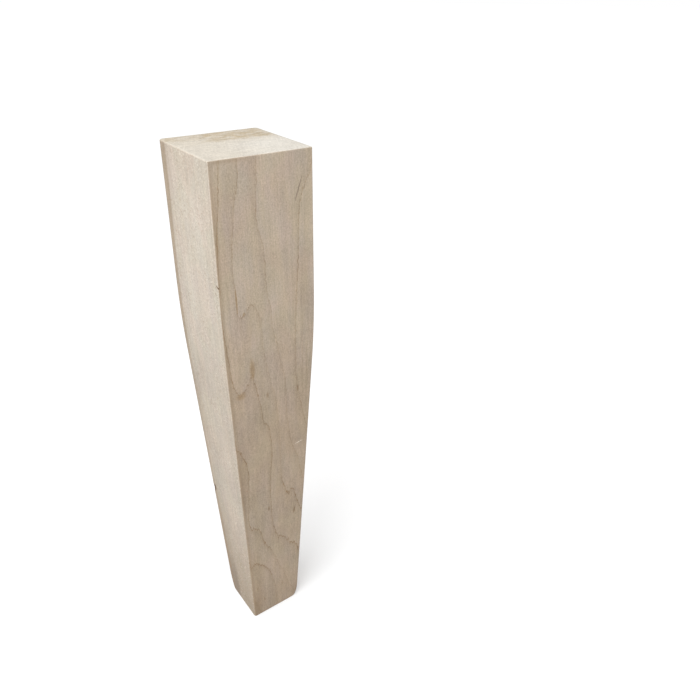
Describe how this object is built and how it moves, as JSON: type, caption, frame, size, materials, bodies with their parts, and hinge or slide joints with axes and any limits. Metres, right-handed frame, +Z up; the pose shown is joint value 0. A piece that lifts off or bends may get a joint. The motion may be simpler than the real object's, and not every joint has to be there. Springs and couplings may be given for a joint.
{
  "type": "tapered wooden furniture leg",
  "caption": "Square wooden furniture leg with a straight block at the top, a long gentle bend and an even taper on every face down to a smaller square foot.",
  "frame": {"origin": "centre of the foot, on the surface that the leg stands on", "axes": "+Z up along the leg to the top face; X and Y square to the four faces, with the front edge of the picture between the -X and -Y faces"},
  "size_m": [0.076, 0.076, 0.43],
  "materials": {
    "bare_maple": "bare sanded maple, no stain or varnish"
  },
  "bodies": {
    "root": {"leg": "bare_maple"}
  },
  "joints": []
}
